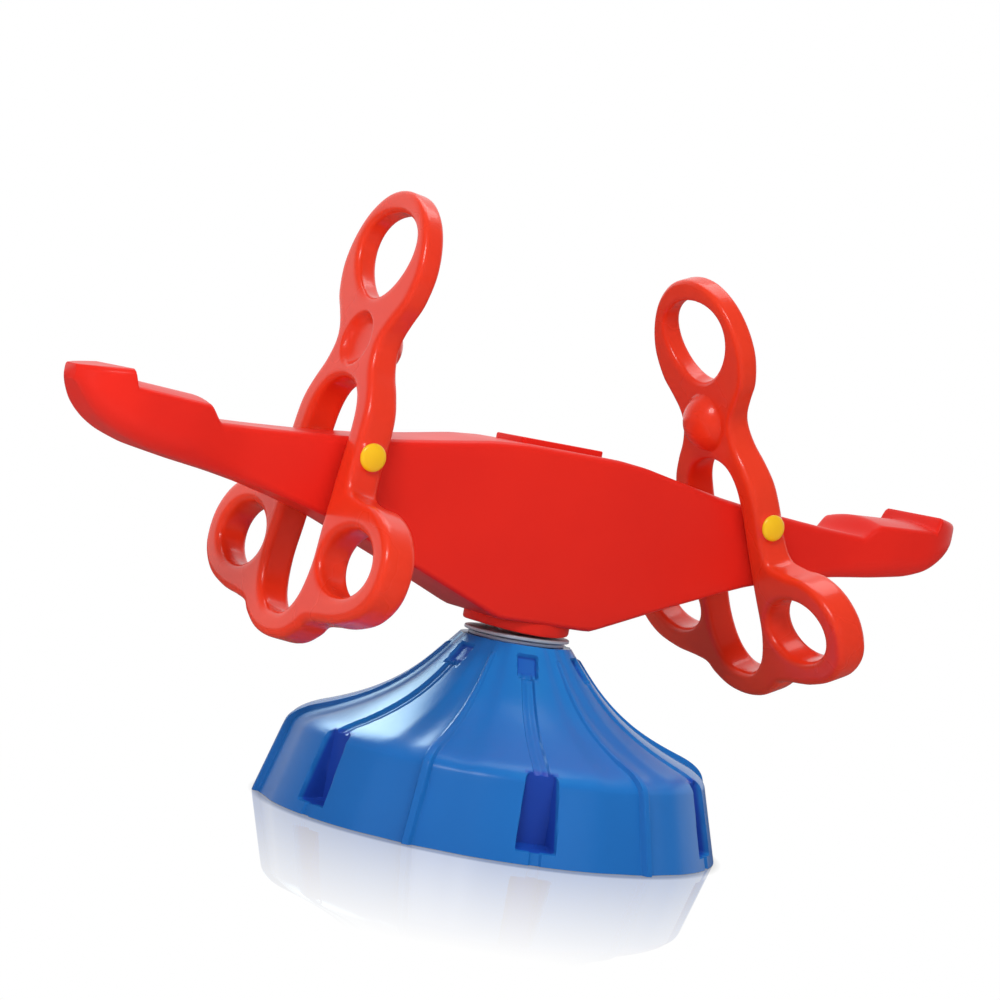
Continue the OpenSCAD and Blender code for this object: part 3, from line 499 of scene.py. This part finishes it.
# One cross-section, from the middle of its underside round to the right, over and back
def beamRing(x):
    u = abs(x)
    top = softLine(beam["top"], u, beam["topSoft"])
    low = softLine(beam["low"], u, beam["lowSoft" if u < beam["lowFar"] else "lowSoftFar"])
    half = beamHalf(u)
    pastBack = (u - beam["backFull"]) / (beam["end"] - beam["backFull"])
    back = beam["back"] - beam["backFall"] * max(0, pastBack)
    share = smoothStep((u - beam["seatFront"]) / (beam["rimFront"] - beam["seatFront"]))
    backShare = smoothStep((u - beam["backFront"]) / (beam["backFull"] - beam["backFront"]))
    alongSeat = max(0, u - beam["rimFront"])
    climb = beam["climb"] * alongSeat / (beam["backFront"] - beam["rimFront"])
    rim = mix(mix(top, beam["rim"] + climb, share), back, backShare)
    crown = beam["crown"] * share * (1 - backShare)
    outward = smoothStep((u - beam["bottomFrom"]) / beam["bottomOver"])
    bottomEdge = min(mix(beam["bottomEdge"], beam["bottomEdgeEnd"], outward),
                     beam["bottomOfWidth"] * half, beam["bottomOfHeight"] * (rim - low))
    topEdge = min(mix(beam["topEdge"], beam["topEdgeSeat"], share),
                  beam["topOfWidth"] * half, beam["topOfHeight"] * (rim - low))
    quarter = quarterTurn(beam["edgeSteps"])
    points = [(half - bottomEdge + bottomEdge * math.sin(a),
               low + bottomEdge - bottomEdge * math.cos(a)) for a in quarter]
    wallFoot, wallHead, wallSteps = points[-1][1], rim - topEdge, beam["wallSteps"]
    points += [(half, mix(wallFoot, wallHead, k / wallSteps)) for k in range(1, wallSteps)]
    points += [(half - topEdge + topEdge * math.cos(a), rim - topEdge + topEdge * math.sin(a))
               for a in quarter]
    shares = [k / beam["topSteps"] for k in range(beam["topSteps"] - 1, 0, -1)]
    points += [((half - topEdge) * s, rim + crown * (1 - s * s)) for s in shares]
    right = [(0.0, low), (0.5 * points[0][0], low)] + points + [(0.0, rim + crown)]
    loop = right + [(-y, z) for y, z in reversed(right[1:-1])]
    return [(x, y, z) for y, z in loop]


def beamStations():
    half = [start + step * k for start, step, counts in beam["stations"] for k in counts]
    half += beam["endStations"]
    return [-x for x in reversed(half)] + [0.0] + half


def makeBeam():
    bm = bmesh.new()
    bore, radius, top = beam["neckBore"], beam["neckRadius"], beam["neckTop"]
    edge, bevel = beam["neckEdge"], beam["neckBevel"] * beam["neckEdge"]
    lathe(bm, [(bore, top), (bore, 0), (radius - edge, 0), (radius - bevel, bevel), (radius, edge),
               (radius, top)])
    for v in (v for v in bm.verts if v.co.z < top / 2):
        v.co.z += beam["neckRim"] + beam["neckRise"] * (v.co.x / radius) ** 2
    loft(bm, [beamRing(x) for x in beamStations()])
    bmesh.ops.transform(bm, matrix=rockTurn, verts=bm.verts)
    finishMesh("beamMoulding", bm, red, "beam", ["beam_shell"], beam["sharp"])


makeBeam()

cover = {"half": (0.075, 0.046), "low": 0.595, "high": 0.604, "corner": 0.010, "cornerSteps": 6,
         "edge": 0.0025, "edgeSteps": 4, "sharp": 30}


def roundEdges(bm, edges, offset, segments):
    bmesh.ops.bevel(bm, geom=edges, offset=offset, segments=segments, profile=0.5, affect="EDGES",
                    material=-1)


def makeCover():
    bm = bmesh.new()
    hx, hy = cover["half"]
    verts = [bm.verts.new((x, y, cover["low"]))
             for x, y in ((-hx, -hy), (hx, -hy), (hx, hy), (-hx, hy))]
    made = bmesh.ops.extrude_face_region(bm, geom=[bm.faces.new(verts)])
    for v in (g for g in made["geom"] if isinstance(g, bmesh.types.BMVert)):
        v.co.z = cover["high"]
    upright = [e for e in bm.edges if abs(e.verts[0].co.z - e.verts[1].co.z) > tiny]
    roundEdges(bm, upright, cover["corner"], cover["cornerSteps"])
    rim = [e for e in bm.edges if len(e.link_faces) == 2
           and all(abs(v.co.z - cover["high"]) < tiny for v in e.verts)]
    roundEdges(bm, rim, cover["edge"], cover["edgeSteps"])
    bmesh.ops.transform(bm, matrix=rockTurn, verts=bm.verts)
    finishMesh("hubCover", bm, red, "beam", ["hub_cover"], cover["sharp"])


makeCover()


# Handles: outlines as half width and height over the bolt

handle = {
    "x": 0.368, "z": 0.534, "leftLean": 7, "rightLean": 23.5, "sharp": 60, "outlineSteps": 8,
    "legThick": 0.054, "ringThick": 0.036, "thinFrom": 0.040, "thinOver": 0.221,
    "edge": 0.010, "edgeSteps": 4, "voxel": 0.0028, "softFactor": 0.5, "softTimes": 6,
    "dimple": 0.168, "dimpleRadius": 0.042, "dimpleDepth": 0.014, "dimplePower": 5,
    "domeRadius": 0.046, "domeRise": 0.032,
    "bossIn": 0.069, "bossOut": 0.118, "bossRadius": 0.022, "bossSteps": 48,
    "outline": [(0, .402), (.0476, .3924), (.0891, .3626), (.1141, .3216), (.122, .2774),
                (.1110, .2344), (.0886, .2042), (.0720, .1797), (.0678, .1576), (.0756, .1294),
                (.0935, .1005), (.109, .0655), (.114, .020), (.114, -.024), (.124, -.0561),
                (.1622, -.0671), (.2124, -.0721), (.2583, -.0959), (.287, -.1379), (.2841, -.190),
                (.2468, -.2279), (.190, -.246), (.136, -.2519), (.101, -.2581), (.0821, -.2729),
                (.0459, -.2901), (0, -.296)],
    "slot": [(0, .1069), (.0385, .0977), (.0616, .0716), (.070, .030), (.070, -.050),
             (.072, -.1199), (.074, -.1749), (.0616, -.222), (.0336, -.2501), (0, -.256)],
    "handHole": (0, .3007, .0817, .0671, 0.2), "footHole": (.1731, -.1581, .0761, .050, 0.0),
    "holeSteps": 72,
}


def eggOutline(hole, side=1):
    y, v, a, b, squeeze = hole
    turn = [2 * math.pi * k / handle["holeSteps"] for k in range(handle["holeSteps"])]
    return [Vector((side * (y + a * math.cos(t) * (1 + squeeze * math.sin(t))),
                    v + b * math.sin(t))) for t in turn]


def handleThick(v):
    share = smoothStep((v - handle["thinFrom"]) / handle["thinOver"])
    return mix(handle["legThick"], handle["ringThick"], share)


# The flat frame with its holes and rounded edges, as thick as its legs all over
def handleSlab():
    flat = bpy.data.curves.new("handleOutline", "CURVE")
    flat.dimensions = "2D"
    flat.fill_mode = "BOTH"
    edge = handle["edge"]
    lines = [mirrorOutline(halfOutline(handle[k], handle["outlineSteps"]))
             for k in ("outline", "slot")]
    lines += [eggOutline(handle["handHole"]), eggOutline(handle["footHole"]),
              eggOutline(handle["footHole"], -1)]
    for line in lines:
        spline = flat.splines.new("POLY")
        spline.points.add(len(line) - 1)
        for point, place in zip(spline.points, line):
            point.co = (place.x, place.y, 0, 1)
        spline.use_cyclic_u = True
    flat.offset = -edge
    flat.extrude = handle["legThick"] / 2 - edge
    flat.bevel_depth = edge
    flat.bevel_resolution = handle["edgeSteps"]
    return bakedMesh(bpy.data.objects.new("handleOutline", flat))


def boltBoss(bm, side):
    middle = side * (handle["bossIn"] + handle["bossOut"]) / 2
    bmesh.ops.create_cone(bm, cap_ends=True, segments=handle["bossSteps"],
                          radius1=handle["bossRadius"], radius2=handle["bossRadius"],
                          depth=handle["bossOut"] - handle["bossIn"],
                          matrix=Matrix.Translation((0, middle, 0))
                          @ Matrix.Rotation(math.pi / 2, 4, "X"))


# The slab stood up, thinned towards its ring, joined to its bosses, and given dimple and dome
def handleBody():
    bm = bmesh.new()
    bm.from_mesh(handleSlab())
    for v in bm.verts:
        across, up, out = v.co
        v.co = (out * handleThick(up) / handle["legThick"], across, up)
    bmesh.ops.remove_doubles(bm, verts=bm.verts, dist=tiny)
    boltBoss(bm, 1)
    boltBoss(bm, -1)
    bmesh.ops.recalc_face_normals(bm, faces=bm.faces)
    rough = bpy.data.meshes.new("handleRough")
    bm.to_mesh(rough)
    bm.free()
    holder = bpy.data.objects.new("handleRough", rough)
    remesh = holder.modifiers.new("even", "REMESH")
    remesh.mode = "VOXEL"
    remesh.voxel_size = handle["voxel"]
    soft = holder.modifiers.new("soft", "SMOOTH")
    soft.factor = handle["softFactor"]
    soft.iterations = handle["softTimes"]
    mesh = bakedMesh(holder)
    domeBall = (handle["domeRadius"] ** 2 + handle["domeRise"] ** 2) / (2 * handle["domeRise"])
    for v in mesh.vertices:
        away = math.hypot(v.co.y, v.co.z - handle["dimple"])
        if v.co.x < 0 and away < handle["dimpleRadius"]:
            s = away / handle["dimpleRadius"]
            v.co.x += handle["dimpleDepth"] * (1 - s ** handle["dimplePower"])
        if v.co.x > 0 and away < handle["domeRadius"]:
            v.co.x += math.sqrt(domeBall ** 2 - away ** 2) - domeBall + handle["domeRise"]
    return mesh


def handlePlace(side):
    lean = handle["leftLean"] if side < 0 else -handle["rightLean"]
    turn = Matrix.Rotation(math.radians(lean), 4, "Y")
    if side > 0:
        turn = turn @ Matrix.Rotation(math.pi, 4, "Z")
    return rockTurn @ Matrix.Translation((side * handle["x"], 0, handle["z"])) @ turn


handleMesh = handleBody()
sides = {"left": -1, "right": 1}
for word, side in sides.items():
    own = handleMesh.copy()
    own.name = word + "Handle"
    own.transform(handlePlace(side))
    finishPiece(word + "Handle", own, orangeRed, word + "_handle",
                [word + "_frame"], handle["sharp"])

caps = {"radius": 0.021, "rim": 0.0012, "rise": 0.0068, "seat": 0.118, "spigot": 0.0126,
        "spigotDeep": 0.006, "domeRows": range(6, 87, 8), "steps": 64, "sharp": 40}


def makeCaps(side, word):
    bm = bmesh.new()
    radius, rim, rise = caps["radius"], caps["rim"], caps["rise"]
    line = [(caps["spigot"], -caps["spigotDeep"]), (caps["spigot"], 0), (radius, 0), (radius, rim)]
    line += [(radius * math.cos(a), rim + rise * math.sin(a))
             for a in (math.radians(row) for row in caps["domeRows"])]
    for end in (-1, 1):
        loft(bm, [[(x, end * (caps["seat"] + h), z) for x, z in circle(r, caps["steps"])]
                  for r, h in line])
    bmesh.ops.transform(bm, matrix=handlePlace(side), verts=bm.verts)
    finishMesh(word + "Caps", bm, yellow, word + "_handle", [word + "_caps"],
               caps["sharp"])


for word, side in sides.items():
    makeCaps(side, word)


# Inner pieces keep their solids and take a plain finish

inner = {"steel": darkSteel, "plate": zinc, "bush": nylon, "friction_disc": black}
slotOf = {s["node"]: s["material_slot"] for s in frame["record"]["subparts"]}
for name, node in frame["nodes"].items():
    if not node.hide_render and slotOf.get(name) in inner:
        node.data.materials.clear()
        node.data.materials.append(inner[slotOf[name]])
print("inner pieces finished")


# Floor, light and camera

floor = {"half": 14, "low": -0.0005, "rough": 0.8, "bounce": 0.8, "mirrored": 0.12,
         "sheen": 0.5, "sheenFull": 0.38, "sheenEnd": 1.05,
         # contact keys: painted contact shadow, its darkness and its reach round the foot
         "contactShadow": 0.5, "contactShadowFull": 0.36, "contactShadowEnd": 0.374, "contactShadowAt": (-0.011, -0.018, 0)}


# White to the camera, with a reflection that fades outward and a painted shadow line where the foot
# stands;
# a matt floor to all other rays, and clear from below
def makeFloor():
    bm = bmesh.new()
    bmesh.ops.create_grid(bm, x_segments=1, y_segments=1, size=floor["half"],
                          matrix=Matrix.Translation((0, 0, floor["low"])))
    mesh = bpy.data.meshes.new("floor")
    bm.to_mesh(mesh)
    bm.free()
    material, tree, shader, place = startMaterial("paleFloor")
    shader.inputs["Roughness"].default_value = floor["rough"]
    mirrored = place.node("ShaderNodeLightPath", {}, output="Is Glossy Ray")
    tone = floor["bounce"] - (floor["bounce"] - floor["mirrored"]) * mirrored
    tree.links.new(tone.socket, shader.inputs["Base Color"])
    away = place.node("ShaderNodeVectorMath", {0: place}, output=1, operation="LENGTH")
    near = place.node("ShaderNodeMapRange", {
        "Value": away, "From Min": floor["sheenEnd"], "From Max": floor["sheenFull"],
        "To Max": floor["sheen"]})
    # Painted contact shadow: the floor's white emission is darkened close to the foot
    beside = place.node("ShaderNodeVectorMath", {0: place, 1: floor["contactShadowAt"]}, output=1,
                        operation="DISTANCE")
    paintedContactShadow = place.node("ShaderNodeMapRange", {
        "Value": beside, "From Min": floor["contactShadowFull"], "From Max": floor["contactShadowEnd"],
        "To Min": floor["contactShadow"]})
    white = place.node("ShaderNodeEmission", {"Color": paintedContactShadow})
    gloss = place.node("ShaderNodeBsdfGlossy", {"Color": (1, 1, 1, 1), "Roughness": 0.0})
    sheen = place.node("ShaderNodeMixShader", {0: near, 1: white, 2: gloss})
    seen = place.node("ShaderNodeLightPath", {}, output="Is Camera Ray")
    matt = Field(tree, shader.outputs[0])
    above = place.node("ShaderNodeMixShader", {0: seen, 1: matt, 2: sheen})
    fromBelow = place.node("ShaderNodeNewGeometry", {}, output="Backfacing")
    clear = place.node("ShaderNodeBsdfTransparent", {})
    surface = place.node("ShaderNodeMixShader", {0: fromBelow, 1: above, 2: clear})
    tree.links.new(surface.socket, tree.nodes["Material Output"].inputs["Surface"])
    mesh.materials.append(material)
    plane = bpy.data.objects.new("floor", mesh)
    scene.collection.objects.link(plane)


lampAim = Vector((0, 0, 0.45))
lamps = {
    "key": {"place": (-2.6, -2.4, 3.2), "size": (1.6, 1.2), "power": 80},
    "front": {"place": (0.6, -4.2, 1.6), "size": (2.2, 1.4), "power": 38, "glossy": False},
    "side": {"place": (-4.2, -0.6, 1.1), "size": (1.6, 1.2), "power": 26, "glossy": False},
    "over": {"place": (0.4, 0.8, 3.4), "size": (2.4, 1.4), "power": 30},
    "back": {"place": (-0.3, 2.3, 2.1), "size": (2.2, 1.0), "power": 85, "diffuse": False,
             "colour": (0.65, 0.92, 1.0), "only": "baseMoulding"},
    "flare": {"place": (0.5, -0.9, 2.6), "size": (1.4, 0.8), "power": 34, "glossy": False,
              "colour": (0.15, 1.0, 0.85), "only": "baseMoulding"},
}


def makeLamp(name, place, size, power, diffuse=True, glossy=True, colour=(1, 1, 1), only=None):
    light = bpy.data.lights.new(name, "AREA")
    light.shape = "RECTANGLE"
    light.size, light.size_y = size
    light.energy = power
    light.color = colour
    lamp = bpy.data.objects.new(name, light)
    lamp.location = place
    lamp.rotation_mode = "QUATERNION"
    lamp.rotation_quaternion = (lampAim - Vector(place)).to_track_quat("-Z", "Y")
    lamp.visible_camera = False
    lamp.visible_diffuse = diffuse
    lamp.visible_glossy = glossy
    if only:
        lamp.light_linking.receiver_collection = bpy.data.collections.new(name + "Lit")
        lamp.light_linking.receiver_collection.objects.link(bpy.data.objects[only])
    scene.collection.objects.link(lamp)


room = {"dark": (0.29, 0.28, 0.27), "ahead": (0.515, 0.857, 0.0), "paleFrom": 0.15, "paleTo": 0.6}


def makeWorld():
    world = bpy.data.worlds.new("paleRoom")
    scene.world = world
    world.use_nodes = True
    tree = world.node_tree
    place = Field(tree, tree.nodes.new("ShaderNodeTexCoord").outputs["Generated"])
    ahead = place.node("ShaderNodeVectorMath", {0: place, 1: room["ahead"]}, output=1,
                       operation="DOT_PRODUCT")
    pale = place.node("ShaderNodeMapRange", {"Value": ahead, "From Min": room["paleFrom"],
                                             "From Max": room["paleTo"]})
    # White straight to the camera, and by way of the floor's reflection
    for ray in ("Is Camera Ray", "Is Singular Ray"):
        pale = pale.math("MAXIMUM", place.node("ShaderNodeLightPath", {}, output=ray))
    tone = pale.blend((*room["dark"], 1), (1, 1, 1, 1))
    tree.links.new(tone.socket, tree.nodes["Background"].inputs["Color"])


view = {"place": (-2.353, -3.773, 0.663), "heading": 31.167, "pitch": -2.086, "roll": 9.623,
        "lens": 102.49, "sensor": 36, "farEnd": 60}


def makeCamera():
    a, p, roll = (math.radians(view[k]) for k in ("heading", "pitch", "roll"))
    ahead = Vector((math.sin(a) * math.cos(p), math.cos(a) * math.cos(p), math.sin(p)))
    right = Vector((math.cos(a), -math.sin(a), 0))
    up = right.cross(ahead)
    turnedRight = math.cos(roll) * right + math.sin(roll) * up
    turnedUp = math.cos(roll) * up - math.sin(roll) * right
    camera = bpy.data.objects.new("camera", bpy.data.cameras.new("camera"))
    camera.data.lens = view["lens"]
    camera.data.sensor_width = view["sensor"]
    camera.data.clip_end = view["farEnd"]
    camera.matrix_world = Matrix.Translation(view["place"]) @ Matrix(
        (turnedRight, turnedUp, -ahead)).transposed().to_4x4()
    scene.collection.objects.link(camera)
    scene.camera = camera


makeFloor()
for name, lamp in lamps.items():
    makeLamp(name, **lamp)
makeWorld()
makeCamera()
scene.view_settings.view_transform = "Standard"
print("stage set")
